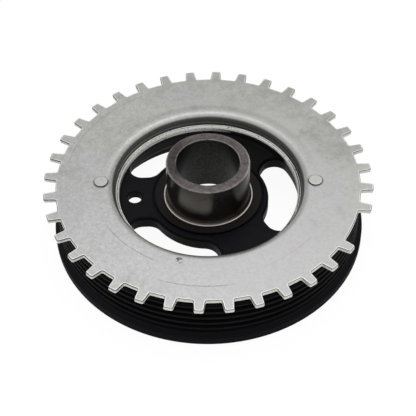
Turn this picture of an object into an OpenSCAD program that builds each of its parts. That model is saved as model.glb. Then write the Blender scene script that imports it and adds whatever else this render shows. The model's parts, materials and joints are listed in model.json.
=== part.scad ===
// Harmonic balancer with a belt pulley and a toothed timing ring.
// It lies on the pulley's front face, with the nose that enters the timing cover pointing up.
// The origin is on the axis at the front face. All sizes are in millimetres and degrees.

/* [Pieces] */
// Piece to draw

/* [Timing ring] */
// Diameter over the tooth tips
tooth_tip_d = 146.8; // [144:0.2:152]
// Height of a tooth above the root circle
tooth_height = 5.5; // [4.5:0.1:6.5]
// Number of equal pitches round the ring
tooth_pitches = 36; // [32:1:38]
// Turn of the missing tooth from the +X axis
missing_turn = 340; // [0:10:350]
// Tooth width at the tip
tooth_tip_w = 3.9; // [3:0.1:4.4]
// Tooth width at the root circle
tooth_root_w = 5.1; // [4.6:0.1:6]
// Radius of the two corners of a tooth tip
tooth_tip_round = 0.7; // [0.3:0.1:1.2]
// Radius of the fillets between a tooth and the root circle
tooth_root_round = 0.8; // [0.3:0.1:1.2]
// Thickness of the stamped sheet
sheet_t = 1.8; // [1.4:0.1:2]
// Inside diameter of the drawn collar
collar_d = 83.4; // [82.4:0.2:86]
// Bend radius of the collar, on its inner face
collar_bend = 4; // [3:0.1:5]
// Straight length of the collar below its bend
collar_straight = 0.75; // [0.5:0.05:1.2]
// Clearance between the collar's bend and the rim's shoulder
bend_clearance = 0.2; // [0.1:0.05:0.5]
// Diameter of the two half-sheared buttons
button_d = 6; // [5:0.2:7]
// Rise of the buttons above the sheet
button_rise = 0.5; // [0.3:0.1:0.8]
// Diameter of the circle that the buttons lie on
button_circle_d = 95.6; // [94:0.2:100]
// Turn of the first button from the +X axis
button_turn = 3.2; // [0:0.1:9]

/* [Pulley ring] */
// Height of the timing ring's top face above the front face
stack_h = 27.2; // [26.6:0.1:32]
// Diameter of the front flange
flange_d = 140; // [138:0.5:144]
// Diameter over the ribs between the grooves
rib_d = 135.8; // [134:0.2:138]
// Number of belt grooves
groove_count = 5; // [3:1:5]
// Width of the land behind the last groove
rear_land = 3.1; // [2.4:0.1:3.4]
// Distance between grooves
groove_pitch = 3.56; // [3.5:0.01:3.6]
// Depth of a groove
groove_depth = 3; // [2.5:0.1:3.2]
// Full angle of a groove
groove_angle = 40; // [38:0.5:42]
// Width of the flat at the bottom of a groove
groove_floor_w = 0.4; // [0.2:0.05:0.6]
// Break on the crests of the ribs
rib_break = 0.2; // [0.1:0.05:0.3]
// Air gap between the pulley ring and the timing ring
ring_gap = 0.8; // [0.6:0.1:1.5]
// Edge break on the pulley ring's corners
ring_break = 0.6; // [0.3:0.1:1]
// Edge break on the flange's rear corner
flange_break = 0.3; // [0.1:0.1:0.6]

/* [Damping ring] */
// Radial thickness of the rubber
rubber_t = 3.5; // [2.5:0.1:4.5]
// Depth of the rubber's ends below the metal faces
rubber_recess = 1.5; // [1:0.1:2.5]
// Hollow of the rubber's ends
rubber_hollow = 0.5; // [0.3:0.1:0.8]

/* [Hub] */
// Diameter of the nose that the oil seal runs on
nose_d = 37.1; // [35:0.1:39]
// Height of the nose's end above the timing ring
nose_rise = 12.4; // [10:0.1:16]
// Bevel on the outer edge of the nose's end
nose_bevel = 0.7; // [0.4:0.1:1.2]
// Fillet at the foot of the nose
nose_foot_round = 1.3; // [0.5:0.1:1.5]
// Bore for the crankshaft
bore_d = 28; // [26:0.1:30]
// Bevel at both ends of the bore
bore_bevel = 0.5; // [0.3:0.1:0.8]
// Diameter of the raised boss round the nose
boss_d = 48; // [46:0.2:48.4]
// Rise of the boss above the web
boss_rise = 0.9; // [0.5:0.1:1.6]
// Radius of the turned groove round the boss
relief_round = 0.6; // [0.4:0.05:0.6]
// Diameter of the bolt's seat at the front
bolt_seat_d = 46; // [42:0.5:48]
// Rise of the bolt's seat from the web's front face
bolt_seat_rise = 1; // [0.6:0.1:2]
// Edge break on the bolt's seat
bolt_seat_break = 0.5; // [0.3:0.1:0.8]
// Depth of the web's rear face below the timing ring's top face
web_depth = 8.8; // [8:0.1:9.4]
// Thickness of the web
web_t = 7; // [6:0.1:8]
// Inside diameter of the bright ledge that the collar stands on
ledge_d = 80.2; // [79.4:0.2:80.8]
// Radius of the ledge's inner edge
ledge_round = 1.4; // [0.8:0.1:1.5]
// Height of the turned wall under the ledge, left above each window
ledge_wall = 3.15; // [2.6:0.05:3.2]
// Outside diameter of the rim, where the rubber sits
rim_d = 108; // [107:0.5:110]
// Inside diameter of the rim at the front
rim_bore_d = 97.4; // [96:0.2:98]
// Narrowing of the rim's inside from the front to the web, on the diameter
rim_draft = 0.8; // [0.4:0.1:1.2]
// Step of the rim's front edge behind the pulley's front face
rim_step = 0.3; // [0.1:0.1:1]
// Fillet between the rim and the web, at the front
rim_round = 3; // [2:0.1:4]
// Edge break on the rim's corners
rim_break = 0.8; // [0.4:0.1:1.2]

/* [Windows] */
// Number of windows in the web
window_count = 3; // [2, 3, 4]
// Turn of the first window's middle from the +X axis
window_turn = 5; // [-15:0.5:15]
// Width of the spokes between the windows
spoke_w = 25.8; // [24:0.2:28]
// Diameter that the windows start at
window_inner_d = 54.2; // [54:0.2:56]
// Diameter that the windows end at
window_outer_d = 82; // [81.4:0.2:82.4]
// Radius of the windows' inner corners
window_inner_round = 6.4; // [5:0.1:6.6]
// Radius of the windows' outer corners
window_outer_round = 6; // [5:0.1:6.4]
// Radius on the edges of the windows
window_edge_round = 1.7; // [1:0.1:1.8]
// Fillet between the web and the ledge, at the rear of the spokes
spoke_round = 2.2; // [1.5:0.1:2.4]

/* [Locking hole] */
// Diameter of the hole for the locking bolt
lock_d = 6.4; // [5.4:0.1:8.4]
// Distance of the hole from the axis
lock_r = 33.1; // [32:0.1:34]
// Diameter of the lead-in at the front
lock_lead_d = 13; // [10:0.5:14]
// Bevel at the rear of the hole
lock_bevel = 0.5; // [0.3:0.1:0.8]

/* [Hidden] */
$fn = 128;
// Overshoot of a cut past the surface that it opens
cut = 1;
// Depth by which two blended curves cross, so that they never just touch
bite = 0.01;
// Share of an edge's radius that a window's opening reaches into the edge
edge_reach = 0.85;

// Timing ring
tip_r = tooth_tip_d / 2;
root_r = tip_r - tooth_height;
pitch_turn = 360 / tooth_pitches;
collar_r = collar_d / 2;
bend_r = collar_r + collar_bend;
collar_out_r = collar_r + sheet_t;
seat_z = stack_h - sheet_t;
ledge_z = stack_h - collar_bend - collar_straight;

// Pulley ring
ring_top = seat_z - ring_gap;
rib_r = rib_d / 2;
flange_r = flange_d / 2;
groove_r = rib_r - groove_depth;
flank_slope = tan(groove_angle / 2);
groove_run = groove_depth * flank_slope;
flange_run = (flange_r - groove_r) * flank_slope;
last_groove_z = ring_top - rear_land - groove_run - groove_floor_w / 2;
first_groove_z = last_groove_z - (groove_count - 1) * groove_pitch;
flange_t = first_groove_z - groove_floor_w / 2 - flange_run;

// Hub
rim_r = rim_d / 2;
rubber_out_r = rim_r + rubber_t;
nose_r = nose_d / 2;
nose_top = stack_h + nose_rise;
bore_r = bore_d / 2;
boss_r = boss_d / 2;
web_top = stack_h - web_depth;
web_bottom = web_top - web_t;
boss_top = web_top + boss_rise;
bolt_seat_r = bolt_seat_d / 2;
hub_bottom = web_bottom - bolt_seat_rise;
ledge_r = ledge_d / 2;
ledge_low = ledge_z - ledge_wall;
rim_bore_r = rim_bore_d / 2;
rim_root_r = rim_bore_r - rim_draft / 2;
collar_relief = collar_bend - sheet_t + bend_clearance;
spoke_fill = min(spoke_round, ledge_z - ledge_round - web_top);

// Windows
spoke_half = spoke_w / 2;
window_in_r = window_inner_d / 2;
window_out_r = window_outer_d / 2;
window_pitch = 360 / window_count;
spoke_angle = window_pitch / 2;
along = [cos(spoke_angle), sin(spoke_angle)];
across = [sin(spoke_angle), -cos(spoke_angle)];

// Middle of a window's corner, on a circle about the axis and clear of the spoke's side
function corner(circle_r, off_side) =
    sqrt(circle_r * circle_r - off_side * off_side) * along + off_side * across;
inner_corner = corner(window_in_r + window_inner_round, spoke_half + window_inner_round);
outer_corner = corner(window_out_r - window_outer_round, spoke_half + window_outer_round);
edge_w = edge_reach * window_edge_round;
opening_low = web_bottom - cut;
opening_high = ledge_z;

// Locking hole, in the middle of the second spoke
lock_turn = window_turn + window_pitch + spoke_angle;
lock_lead_h = (lock_lead_d - lock_d) / 2;

// Tooth flank beside the +X axis, from its foot on the root circle, and the direction into the tooth
foot = [root_r, tooth_root_w / 2];
lean = [tooth_height, (tooth_tip_w - tooth_root_w) / 2];
flank = lean / norm(lean);
inward = [flank[1], -flank[0]];
// Way along the flank's direction from a point to the circle of that reach about the axis
function run(start, reach) =
    -(start * flank) + sqrt(pow(start * flank, 2) - start * start + reach * reach);
tip_from = foot + tooth_tip_round * inward;
tip_mid = tip_from + run(tip_from, tip_r - tooth_tip_round) * flank;
root_from = foot - tooth_root_round * inward;
root_mid = root_from + run(root_from, root_r + tooth_root_round) * flank;
function flip(p) = [p[0], -p[1]];

// Waste outside a quarter round on the corner of a profile whose metal lies at +X and -Y of the origin
module round_waste(r) {
    difference() {
        translate([-cut, bite - r])
            square([cut + r - bite, cut + r - bite]);
        translate([r - bite, bite - r])
            circle(r);
    }
}

// Metal that fills a square inner corner at the origin, towards +X and +Y
module corner_fill(r) {
    difference() {
        translate([-2 * bite, -2 * bite])
            square(r + 2 * bite);
        translate([r - bite, r - bite])
            circle(r);
    }
}

// Kite from the middle of a round to both of its ends and on past the corner that it replaces
module kite(middle, reach, one_way, other_way) {
    polygon([
        middle,
        middle + reach * one_way,
        middle + reach * (one_way + other_way) / (1 + one_way * other_way),
        middle + reach * other_way
    ]);
}

// Window
// Section of the web from a window's rounded edge, at x = 0, towards +X
module web_section(width) {
    difference() {
        translate([0, web_bottom])
            square([width, web_t]);
        translate([0, web_top])
            round_waste(window_edge_round);
        translate([0, web_bottom])
            mirror([0, 1])
                round_waste(window_edge_round);
    }
}

// Section of a window's opening that ends at a rounded edge of the web, at x = 0, and lies towards -X
module opening_section(width) {
    difference() {
        translate([-width, opening_low])
            square([width + edge_w, opening_high - opening_low]);
        web_section(2 * window_edge_round);
    }
}

// Section of a window's opening beside the rim, where the ledge stands over it
module rim_opening_section(width) {
    translate([-width, opening_low])
        square([width + ledge_r - window_out_r, opening_high - opening_low]);
    translate([-width, opening_low])
        square([width, ledge_low - opening_low]);
    intersection() {
        opening_section(width);
        translate([-width, opening_low])
            square([2 * width, web_t]);
    }
}

// Opening along one side of a spoke
module side_opening() {
    rotate([0, 0, spoke_angle])
        translate([-rim_r, -spoke_half, 0])
            rotate([90, 0, 90])
                linear_extrude(2 * rim_r)
                    opening_section(2 * rim_r);
}

// Web metal that rounds a corner of a window, between two directions from the middle of the round
module corner_metal(middle, round_r, one_way, other_way) {
    reach = round_r + 2 * window_edge_round;
    difference() {
        translate([0, 0, opening_low - cut])
            linear_extrude(opening_high - opening_low + 2 * cut)
                kite(middle, reach, one_way, other_way);
        translate([middle[0], middle[1], 0])
            rotate_extrude()
                intersection() {
                    translate([round_r + bite, 0])
                        opening_section(reach);
                    translate([0, opening_low])
                        square([2 * reach, opening_high - opening_low]);
                }
    }
}

// One kidney window across the +X axis, with its edges rounded on both faces of the web
module window() {
    difference() {
        intersection() {
            rotate_extrude()
                intersection() {
                    translate([window_in_r, 0])
                        mirror([1, 0])
                            opening_section(rim_r);
                    translate([window_out_r, 0])
                        rim_opening_section(window_out_r);
                }
            side_opening();
            mirror([0, 1, 0])
                side_opening();
        }
        for (side = [0, 1])
            mirror([0, side, 0]) {
                corner_metal(inner_corner, window_inner_round, -inner_corner / norm(inner_corner), -across);
                corner_metal(outer_corner, window_outer_round, outer_corner / norm(outer_corner), -across);
            }
    }
}

module windows() {
    for (i = [0 : window_count - 1])
        rotate([0, 0, window_turn + i * window_pitch])
            window();
}

// Hub
module nose_profile() {
    difference() {
        union() {
            translate([0, web_bottom])
                square([nose_r, nose_top - web_bottom]);
            translate([0, web_bottom])
                square([boss_r, boss_top - web_bottom]);
            polygon([
                [0, hub_bottom],
                [bolt_seat_r - bolt_seat_break, hub_bottom],
                [bolt_seat_r, hub_bottom + bolt_seat_break],
                [bolt_seat_r, web_top],
                [0, web_top]
            ]);
            translate([nose_r, boss_top])
                corner_fill(nose_foot_round);
        }
        translate([nose_r - nose_bevel, nose_top])
            polygon([
                [-cut, cut],
                [-cut, 0],
                [0, 0],
                [nose_bevel, -nose_bevel],
                [nose_bevel + cut, -nose_bevel],
                [nose_bevel + cut, cut]
            ]);
    }
}

module web_profile() {
    translate([0, web_bottom])
        square([rim_root_r, web_t]);
    translate([ledge_r, web_top])
        mirror([1, 0])
            corner_fill(spoke_fill);
    translate([rim_root_r, web_bottom])
        rotate(180)
            corner_fill(rim_round);
}

module rim_profile() {
    difference() {
        polygon([
            [ledge_r, web_bottom],
            [rim_root_r, web_bottom],
            [rim_root_r, web_bottom - rim_round],
            [rim_bore_r, rim_step + rim_break],
            [rim_bore_r + rim_break, rim_step],
            [rim_r - rim_break, rim_step],
            [rim_r, rim_step + rim_break],
            [rim_r, seat_z - rim_break],
            [rim_r - rim_break, seat_z],
            [collar_out_r + collar_relief, seat_z],
            [collar_out_r, seat_z - collar_relief],
            [collar_out_r, ledge_z],
            [ledge_r, ledge_z]
        ]);
        translate([ledge_r, ledge_z])
            round_waste(ledge_round);
    }
}

module hub() {
    color([0.1, 0.1, 0.11])
        difference() {
            rotate_extrude()
                difference() {
                    union() {
                        nose_profile();
                        web_profile();
                        rim_profile();
                    }
                    translate([boss_r + relief_round, web_top])
                        circle(relief_round);
                }
            windows();
            bore();
            lock_hole();
        }
}

module bore() {
    translate([0, 0, hub_bottom - cut])
        cylinder(r = bore_r, h = nose_top - hub_bottom + 2 * cut);
    translate([0, 0, nose_top - bore_bevel])
        cylinder(r1 = bore_r, r2 = bore_r + bore_bevel + cut, h = bore_bevel + cut);
    translate([0, 0, hub_bottom - cut])
        cylinder(r1 = bore_r + bore_bevel + cut, r2 = bore_r, h = bore_bevel + cut);
}

// Hole with a deep lead-in for the bolt at the front
module lock_hole() {
    rotate([0, 0, lock_turn])
        translate([lock_r, 0, 0]) {
            translate([0, 0, web_bottom - cut])
                cylinder(d = lock_d, h = web_t + 2 * cut);
            translate([0, 0, web_bottom - cut])
                cylinder(d1 = lock_lead_d + 2 * cut, d2 = lock_d, h = lock_lead_h + cut);
            translate([0, 0, web_top - lock_bevel])
                cylinder(d1 = lock_d, d2 = lock_d + 2 * (lock_bevel + cut), h = lock_bevel + cut);
        }
}

// Damping ring
module damping_ring() {
    rubber_low = rim_step + rubber_recess;
    rubber_h = ring_top - rubber_recess - rubber_low;
    hollow_r = (rubber_t * rubber_t / 4 + rubber_hollow * rubber_hollow) / (2 * rubber_hollow);
    color([0.05, 0.05, 0.05])
        rotate_extrude()
            difference() {
                translate([rim_r, rubber_low])
                    square([rubber_t, rubber_h]);
                translate([rim_r + rubber_t / 2, rubber_low + rubber_hollow - hollow_r])
                    circle(hollow_r);
                translate([rim_r + rubber_t / 2, rubber_low + rubber_h - rubber_hollow + hollow_r])
                    circle(hollow_r);
            }
}

// Pulley ring
// Half of a groove, from its floor to the crest beside it
function half_groove(z, side) = [
    [groove_r, z + side * groove_floor_w / 2],
    [rib_r - rib_break, z + side * (groove_floor_w / 2 + groove_run - rib_break * flank_slope)],
    [rib_r, z + side * (groove_floor_w / 2 + groove_run + rib_break)]
];

module pulley_ring() {
    first = concat([[groove_r, first_groove_z - groove_floor_w / 2]], half_groove(first_groove_z, 1));
    others = [
        for (i = [1 : groove_count - 1])
            let (z = first_groove_z + i * groove_pitch, low = half_groove(z, -1))
                for (p = concat([low[2], low[1], low[0]], half_groove(z, 1)))
                    p
    ];
    color([0.07, 0.07, 0.08])
        rotate_extrude()
            polygon(concat(
                [
                    [rubber_out_r, ring_break],
                    [rubber_out_r + ring_break, 0],
                    [flange_r - ring_break, 0],
                    [flange_r, ring_break],
                    [flange_r, flange_t - flange_break],
                    [flange_r - flange_break, flange_t + flange_break * flank_slope]
                ],
                first,
                others,
                [
                    [rib_r, ring_top - ring_break],
                    [rib_r - ring_break, ring_top],
                    [rubber_out_r + ring_break, ring_top],
                    [rubber_out_r, ring_top - ring_break]
                ]
            ));
}

// Timing ring
// What a rounded corner leaves over, between two directions from the middle of its round
module corner_waste(middle, round_r, one_way, other_way) {
    difference() {
        kite(middle, 2 * round_r, one_way, other_way);
        translate(middle)
            circle(round_r + bite);
    }
}

module collar_profile() {
    bend_z = stack_h - collar_bend;
    translate([bend_r, seat_z])
        square([collar_bend, sheet_t]);
    intersection() {
        difference() {
            translate([bend_r, bend_z])
                circle(collar_bend);
            translate([bend_r, bend_z])
                circle(collar_bend - sheet_t);
        }
        translate([collar_r - cut, bend_z])
            square([collar_bend + cut, collar_bend + cut]);
    }
    translate([collar_r, ledge_z])
        square([sheet_t, collar_straight]);
}

// Space between two teeth that are the given number of pitches apart, lying across the +X axis
module gap_outline(pitches) {
    half_turn = pitches * pitch_turn / 2;
    spare = 2 * tooth_height;
    difference() {
        polygon([
            for (side = [1, -1])
                for (way = [-side, side])
                    let (p = foot + (way < 0 ? -spare : spare) * flank, t = atan2(p[1], p[0]) - half_turn)
                        norm(p) * [cos(t), -side * sin(t)]
        ]);
        circle(root_r);
        for (side = [0, 1])
            mirror([0, side])
                rotate([0, 0, -half_turn])
                    corner_waste(root_mid, tooth_root_round, -root_mid / norm(root_mid), inward);
    }
}

module sheet_outline() {
    difference() {
        circle(tip_r);
        circle(bend_r);
        for (i = [1 : tooth_pitches - 2])
            rotate(missing_turn + (i + 0.5) * pitch_turn)
                gap_outline(1);
        rotate(missing_turn)
            gap_outline(2);
        for (i = [1 : tooth_pitches - 1])
            rotate(missing_turn + i * pitch_turn)
                for (side = [0, 1])
                    mirror([0, side])
                        corner_waste(tip_mid, tooth_tip_round, tip_mid / norm(tip_mid), -inward);
    }
}

module buttons(low, height) {
    for (turn = [button_turn, button_turn + 180])
        rotate([0, 0, turn])
            translate([button_circle_d / 2, 0, low])
                cylinder(d = button_d, h = height);
}

module timing_ring() {
    color([0.72, 0.73, 0.72])
        difference() {
            union() {
                rotate_extrude()
                    collar_profile();
                translate([0, 0, seat_z])
                    linear_extrude(sheet_t)
                        sheet_outline();
                buttons(seat_z + sheet_t / 2, sheet_t / 2 + button_rise);
            }
            buttons(seat_z - cut, cut + button_rise);
        }
}

hub();
damping_ring();
pulley_ring();
timing_ring();
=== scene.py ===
"""Harmonic balancer with its toothed timing ring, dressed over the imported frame.

The part lies on its pulley's front face at Z = 0, and its nose points up along +Z. The sizes of pieces are in
millimetres and degrees, as on a drawing. A mesh becomes metres in the last step of its making.
"""

from __future__ import annotations

import json
import logging
import math
from abc import ABC, abstractmethod
from dataclasses import dataclass, field, fields
from enum import Enum
from typing import Any, Callable, ClassVar, Iterable, Mapping, Sequence, Union

import bmesh
import bpy
from mathutils import Euler, Matrix, Vector

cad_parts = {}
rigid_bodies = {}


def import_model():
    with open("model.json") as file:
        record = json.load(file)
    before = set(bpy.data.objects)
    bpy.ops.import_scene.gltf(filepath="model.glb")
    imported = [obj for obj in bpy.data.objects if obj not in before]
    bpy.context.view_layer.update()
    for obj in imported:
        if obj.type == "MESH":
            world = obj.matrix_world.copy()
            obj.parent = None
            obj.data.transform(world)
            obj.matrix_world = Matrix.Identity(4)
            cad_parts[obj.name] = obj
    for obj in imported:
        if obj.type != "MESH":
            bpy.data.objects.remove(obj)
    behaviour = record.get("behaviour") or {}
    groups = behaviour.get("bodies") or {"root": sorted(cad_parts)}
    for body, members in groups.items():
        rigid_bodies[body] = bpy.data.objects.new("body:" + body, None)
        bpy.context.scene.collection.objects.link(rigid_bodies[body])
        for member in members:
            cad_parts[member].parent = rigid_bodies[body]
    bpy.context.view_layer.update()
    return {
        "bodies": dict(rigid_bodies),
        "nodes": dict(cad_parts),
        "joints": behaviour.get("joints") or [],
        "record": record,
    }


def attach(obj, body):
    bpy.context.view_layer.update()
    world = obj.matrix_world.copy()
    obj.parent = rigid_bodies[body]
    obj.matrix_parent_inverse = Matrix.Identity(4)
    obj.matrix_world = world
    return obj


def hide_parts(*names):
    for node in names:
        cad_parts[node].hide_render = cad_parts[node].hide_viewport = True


LOG = logging.getLogger("balancer")
MM = 0.001
WELD = 0.002  # Millimetres below which two points become one
SLIVER = 0.0005  # Length in millimetres of an edge that is dropped
FLAT_WEIGHT = 80  # How much large faces steer the shading at their edges
Colour = tuple[float, float, float]
Plug = Union["Value", bpy.types.NodeSocket, bpy.types.ID, float, int, str, bool, Sequence[float]]


def math_operator(operation: str, flipped: bool = False) -> Callable[[Value, Plug], Value]:
    """Makes the method of an operator, with the other number on the left where it is flipped."""

    def method(self: Value, other: Plug) -> Value:
        """Adds the node."""
        return self.graph.math(operation, other, self) if flipped else self.graph.math(operation, self, other)

    return method


class Value:
    """Number that comes out of a node and takes part in Python's arithmetic."""

    def __init__(self, graph: Graph, socket: bpy.types.NodeSocket) -> None:
        """Wraps an output socket of one graph."""
        self.graph = graph
        self.socket = socket

    def __neg__(self) -> Value:
        """Opposite."""
        return self.graph.math("MULTIPLY", self, -1.0)

    def __abs__(self) -> Value:
        """Size without sign."""
        return self.graph.math("ABSOLUTE", self)

    __add__ = __radd__ = math_operator("ADD")
    __mul__ = __rmul__ = math_operator("MULTIPLY")
    __sub__, __rsub__ = math_operator("SUBTRACT"), math_operator("SUBTRACT", True)
    __truediv__, __rtruediv__ = math_operator("DIVIDE"), math_operator("DIVIDE", True)
    __mod__ = math_operator("FLOORED_MODULO")
    __lt__, __gt__ = math_operator("LESS_THAN"), math_operator("GREATER_THAN")


class Graph:
    """Node tree that is built from expressions."""

    def __init__(self, tree: bpy.types.NodeTree) -> None:
        """Takes over an empty tree."""
        self.tree = tree

    def node(
        self,
        kind: str,
        settings: Mapping[str, Any] | None = None,
        sockets: Mapping[str | int, Plug] | None = None,
    ) -> bpy.types.Node:
        """Adds one node.

        Args:
            kind: Blender's type name of the node.
            settings: Properties, which are set before any socket.
            sockets: Links or values by the inputs' names or numbers.

        Returns:
            The new node.
        """
        made = self.tree.nodes.new(kind)
        for name, setting in (settings or {}).items():
            setattr(made, name, setting)
        for key, plug in (sockets or {}).items():
            self.plug(self.entry(made, key), plug)
        return made

    def entry(self, node: bpy.types.Node, key: str | int) -> bpy.types.NodeSocket:
        """Finds an input by number, or the first one in use that has the name."""
        if isinstance(key, int):
            return node.inputs[key]
        return next(socket for socket in node.inputs if socket.name == key and socket.enabled)

    def plug(self, socket: bpy.types.NodeSocket, plug: Plug) -> None:
        """Links an input, or gives it its value."""
        if isinstance(plug, Value):
            self.tree.links.new(plug.socket, socket)
        elif isinstance(plug, bpy.types.NodeSocket):
            self.tree.links.new(plug, socket)
        else:
            socket.default_value = plug

    def value(self, node: bpy.types.Node, output: str | int = 0) -> Value:
        """Wraps an output of a node for arithmetic."""
        if isinstance(output, int):
            return Value(self, node.outputs[output])
        return Value(self, next(socket for socket in node.outputs if socket.name == output and socket.enabled))

    def make(self, kind: str, sockets: Mapping[str | int, Plug] | None = None, **settings: Any) -> Value:
        """Adds a node, with its settings by name, and wraps its first output."""
        return self.value(self.node(kind, settings, sockets))

    def math(self, operation: str, *plugs: Plug) -> Value:
        """Adds a Math node for up to three numbers."""
        return self.make("ShaderNodeMath", dict(enumerate(plugs)), operation=operation)

    def point(self, x: Plug, y: Plug, z: Plug = 0.0) -> Value:
        """Point or offset from its three coordinates."""
        return self.make("ShaderNodeCombineXYZ", {0: x, 1: y, 2: z})

    def scaled(self, vector: Plug, factor: Plug) -> Value:
        """Vector or colour times a number."""
        return self.make("ShaderNodeVectorMath", {0: vector, "Scale": factor}, operation="SCALE")

    def rise(self, value: Plug, start: float, end: float) -> Value:
        """Mask that grows smoothly from 0 at start to 1 at end."""
        sockets = {"Value": value, "From Min": start, "From Max": end}
        return self.make("ShaderNodeMapRange", sockets, interpolation_type="SMOOTHSTEP")

    def fall(self, value: Plug, start: float, end: float) -> Value:
        """Mask that shrinks smoothly from 1 at start to 0 at end."""
        return 1 - self.rise(value, start, end)


# Geometry trees


@dataclass(frozen=True)
class Corner:
    """Corner of an outline.

    Attributes:
        out: Distance outwards, from the axis or from the path.
        up: Height.
        round: Radius of the corner.
        rim: How far it belongs to a bright rim, from 0 to 1.
    """

    out: Plug
    up: Plug
    round: Plug = 0.0
    rim: float = 0.0


class PieceTree(Graph):
    """Geometry tree in millimetres, whose inputs are the named sizes of one piece."""

    def __init__(self, name: str, sizes: Mapping[str, float | int]) -> None:
        """Makes the tree with an input for each size, where an int makes a whole-number input."""
        super().__init__(bpy.data.node_groups.new(name, "GeometryNodeTree"))
        ports = self.tree.interface
        ports.new_socket(name="Mesh", in_out="OUTPUT", socket_type="NodeSocketGeometry")
        for label, size in sizes.items():
            kind = "NodeSocketInt" if isinstance(size, int) else "NodeSocketFloat"
            ports.new_socket(name=label, in_out="INPUT", socket_type=kind).default_value = size
        self.inputs = self.tree.nodes.new("NodeGroupInput")

    def size(self, label: str) -> Value:
        """One of the tree's named inputs."""
        return self.value(self.inputs, label)

    def pick(self, index: Plug, options: Sequence[Plug]) -> Value:
        """Chooses one of a few numbers by its place in the row."""
        switch = self.tree.nodes.new("GeometryNodeIndexSwitch")
        switch.data_type = "FLOAT"
        while len(switch.index_switch_items) < len(options):
            switch.index_switch_items.new()
        for place, plug in enumerate((index, *options)):
            self.plug(switch.inputs[place], plug)
        return self.value(switch)

    def index(self) -> Value:
        """Number of the point that is being worked on."""
        return self.make("GeometryNodeInputIndex")

    def note(self, geometry: Plug, name: str, number: Plug) -> Value:
        """Keeps a number on each point of the geometry under a name."""
        sockets = {"Geometry": geometry, "Name": name, "Value": number}
        return self.make("GeometryNodeStoreNamedAttribute", sockets, data_type="FLOAT", domain="POINT")

    def outline(
        self, count: Plug, x: Plug, y: Plug, rounding: Plug, steps: int, closed: bool, rims: Plug | None = None
    ) -> Value:
        """Makes a flat curve through computed corners and rounds them.

        Args:
            count: Number of corners.
            x: First coordinate of a corner, from the corner's index.
            y: Second coordinate of a corner.
            rounding: Radius of a corner.
            steps: Segments of each rounded corner.
            closed: Whether the last corner joins the first.
            rims: How far a corner belongs to a bright rim, from 0 to 1, where the finish asks for it.

        Returns:
            The curve.
        """
        line = self.make("GeometryNodeCurvePrimitiveLine")
        dots = self.make("GeometryNodeResampleCurve", {"Curve": line, "Count": count}, mode="COUNT")
        placed = self.make("GeometryNodeSetPosition", {"Geometry": dots, "Position": self.point(x, y)})
        kept = self.note(placed, "corner_round", rounding)
        if rims is not None:
            kept = self.note(kept, "lip", rims)
        ring = self.make("GeometryNodeSetSplineCyclic", {"Geometry": kept, "Cyclic": closed})
        radius = self.make("GeometryNodeInputNamedAttribute", {"Name": "corner_round"}, data_type="FLOAT")
        sockets = {"Curve": ring, "Count": steps, "Radius": radius, "Limit Radius": True}
        return self.make("GeometryNodeFilletCurve", sockets, mode="POLY")

    def section(self, corners: Sequence[Corner], base: Plug, steps: int) -> Value:
        """Open cross-section for a sweep.

        Args:
            corners: Corners of the section.
            base: Distance outwards at which the path runs.
            steps: Segments of each rounded corner.

        Returns:
            The curve, with outwards along X and up along -Y, as a sweep needs it.
        """
        number = self.index()
        out = self.pick(number, [corner.out for corner in corners]) - base
        up = self.pick(number, [corner.up for corner in corners])
        rounding = self.pick(number, [corner.round for corner in corners])
        rims = self.pick(number, [corner.rim for corner in corners])
        return self.outline(len(corners), out, -up, rounding, steps, False, rims)

    def upright(self, curve: Plug) -> Value:
        """Keeps a curve's normals level, so that they point away from its inside."""
        return self.make("GeometryNodeSetCurveNormal", {"Curve": curve}, mode="Z_UP")

    def circle(self, radius: Plug, segments: Plug) -> Value:
        """Circle about the axis."""
        sockets = {"Resolution": segments, "Radius": radius}
        return self.upright(self.make("GeometryNodeCurvePrimitiveCircle", sockets, mode="RADIUS"))

    def sweep(self, path: Plug, section: Plug) -> Value:
        """Mesh of a section that is drawn along a path."""
        return self.make("GeometryNodeCurveToMesh", {"Curve": path, "Profile Curve": section})

    def join(self, parts: Iterable[Plug]) -> Value:
        """Joins geometry."""
        joint = self.tree.nodes.new("GeometryNodeJoinGeometry")
        for part in parts:
            self.plug(joint.inputs[0], part)
        return self.value(joint)

    def fill(self, borders: Sequence[Plug], height: Plug) -> Value:
        """Flat face between borders, at a height."""
        face = self.make("GeometryNodeFillCurve", {"Curve": self.join(borders)}, mode="TRIANGLES")
        return self.make("GeometryNodeTransform", {"Geometry": face, "Translation": self.point(0.0, 0.0, height)})

    def repeat(self, part: Plug, dots: Plug) -> Value:
        """Copies a part to points, as real geometry."""
        return self.real(self.make("GeometryNodeInstanceOnPoints", {"Points": dots, "Instance": part}))

    def real(self, geometry: Plug) -> Value:
        """Turns instances into real geometry."""
        return self.make("GeometryNodeRealizeInstances", {"Geometry": geometry})

    def finish(self, mesh: Plug, material: bpy.types.Material) -> None:
        """Welds the mesh, turns it into metres and gives it its material."""
        welded = self.make("GeometryNodeMergeByDistance", {"Geometry": mesh, "Distance": WELD})
        smooth = self.make("GeometryNodeSetShadeSmooth", {"Geometry": welded}, domain="FACE")
        metres = self.make("GeometryNodeTransform", {"Geometry": smooth, "Scale": (MM, MM, MM)})
        dressed = self.make("GeometryNodeSetMaterial", {"Geometry": self.real(metres), "Material": material})
        self.plug(self.tree.nodes.new("NodeGroupOutput").inputs[0], dressed)


def add_object(name: str, data: bpy.types.ID) -> bpy.types.Object:
    """Puts a new object into the scene."""
    made = bpy.data.objects.new(name, data)
    bpy.context.scene.collection.objects.link(made)
    return made


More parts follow.
